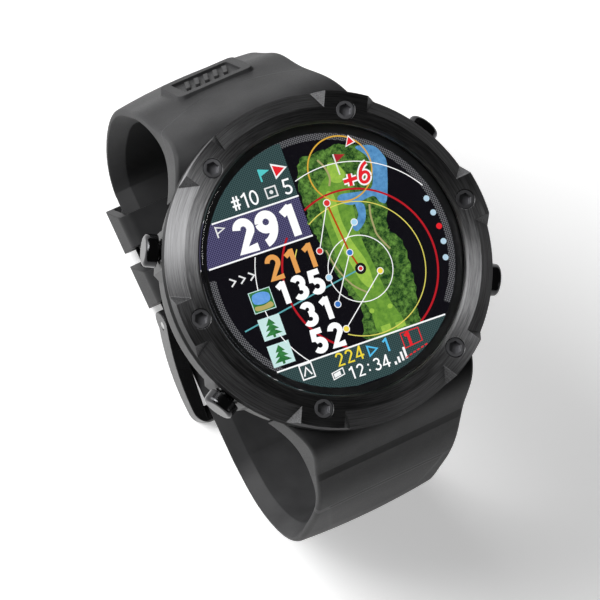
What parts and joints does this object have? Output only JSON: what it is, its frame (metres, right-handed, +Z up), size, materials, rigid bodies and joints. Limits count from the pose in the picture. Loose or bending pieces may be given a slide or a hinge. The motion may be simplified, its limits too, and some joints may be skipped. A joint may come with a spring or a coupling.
{
  "type": "golf gps watch",
  "caption": "Round golf GPS wristwatch with a six-lug screwed bezel, colour hole-map display, side push buttons and a closed rubber strap with tang buckle.",
  "frame": {"origin": "at table level under the centre of the dial; the watch stands on its buckle and fixed strap loop", "axes": "+Z up out of the dial, +Y towards 12 o'clock, +X towards 3 o'clock"},
  "size_m": [0.05, 0.0734, 0.0612],
  "materials": {
    "bezel_steel": "black plated steel, circular brushing",
    "screw_steel": "dark grey satin",
    "cover_glass": "polished, anti-reflection",
    "white_gasket": "black adhesive ring",
    "display": "lit colour display",
    "frame_plastic": "moulded",
    "flex_film": "amber film",
    "case_plastic": "fine satin, black",
    "sleeve_steel": "turned",
    "back_plastic": "fine spark texture",
    "back_screw_steel": "satin",
    "seal_rubber": "smooth",
    "contact_plastic": "smooth",
    "contact_gold": "gold plated",
    "board_green": "solder mask",
    "shield_steel": "tinned",
    "antenna_ceramic": "ceramic, silver patch",
    "battery_wrap": "foil pouch",
    "switch_plastic": "moulded",
    "strap_rubber": "matt silicone, black",
    "keeper_rubber": "matt silicone, black",
    "buckle_steel": "black plated, polished",
    "button_steel": "black plated, polished"
  },
  "bodies": {
    "case_and_strap": {"battery": "battery_wrap", "bezel": "bezel_steel", "bezel_screws": "screw_steel", "board_shield": "shield_steel", "button_sleeves": "sleeve_steel", "case_back": "back_plastic", "case_back_gasket": "seal_rubber", "case_back_screws": "back_screw_steel", "case_body": "case_plastic", "charging_contacts": "contact_gold", "contact_base": "contact_plastic", "cover_glass": "cover_glass", "display_flex": "flex_film", "display_frame": "frame_plastic", "display_panel": "display", "glass_gasket": "white_gasket", "gps_antenna": "antenna_ceramic", "inner_frame": "frame_plastic", "keeper_fixed": "keeper_rubber", "main_board": "board_green", "side_switches": "switch_plastic", "strap_bars": "sleeve_steel", "strap_lower": "strap_rubber", "strap_upper": "strap_rubber", "vibration_motor": "shield_steel"},
    "button_2h": {"button_2h_cap": "button_steel", "button_2h_o_ring": "seal_rubber", "button_2h_clip": "sleeve_steel", "button_2h_plunger": "switch_plastic"},
    "button_10h": {"button_10h_cap": "button_steel", "button_10h_o_ring": "seal_rubber", "button_10h_clip": "sleeve_steel", "button_10h_plunger": "switch_plastic"},
    "button_8h": {"button_8h_cap": "button_steel", "button_8h_o_ring": "seal_rubber", "button_8h_clip": "sleeve_steel", "button_8h_plunger": "switch_plastic"},
    "button_4h": {"button_4h_cap": "button_steel", "button_4h_o_ring": "seal_rubber", "button_4h_clip": "sleeve_steel", "button_4h_plunger": "switch_plastic"},
    "buckle": {"buckle_frame": "buckle_steel", "buckle_bar": "sleeve_steel"},
    "tongue": {"buckle_tongue": "buckle_steel"},
    "keeper": {"keeper_free": "keeper_rubber"}
  },
  "joints": [
    {"name": "button_2h_press", "type": "slide", "parent": "case_and_strap", "child": "button_2h", "axis": [-0.8813, -0.4726, 0], "range_m": [0, 0.0004], "stiffness_N_per_m": 4000, "springref_m": -0.0004},
    {"name": "button_10h_press", "type": "slide", "parent": "case_and_strap", "child": "button_10h", "axis": [0.8813, -0.4726, 0], "range_m": [0, 0.0004], "stiffness_N_per_m": 4000, "springref_m": -0.0004},
    {"name": "button_8h_press", "type": "slide", "parent": "case_and_strap", "child": "button_8h", "axis": [0.8813, 0.4726, 0], "range_m": [0, 0.0004], "stiffness_N_per_m": 4000, "springref_m": -0.0004},
    {"name": "button_4h_press", "type": "slide", "parent": "case_and_strap", "child": "button_4h", "axis": [-0.8813, 0.4726, 0], "range_m": [0, 0.0004], "stiffness_N_per_m": 4000, "springref_m": -0.0004},
    {"name": "buckle_hinge", "type": "hinge", "parent": "case_and_strap", "child": "buckle", "pos_m": [0, 0.003, 0.0068], "axis": [1, 0, 0], "range_deg": [0, 6]},
    {"name": "tongue_hinge", "type": "hinge", "parent": "buckle", "child": "tongue", "pos_m": [0, 0.003, 0.0068], "axis": [1, 0, 0], "range_deg": [0, 5]},
    {"name": "keeper_slide", "type": "slide", "parent": "case_and_strap", "child": "keeper", "axis": [0, 1, 0], "range_m": [-0.0016, 0.0014]}
  ]
}
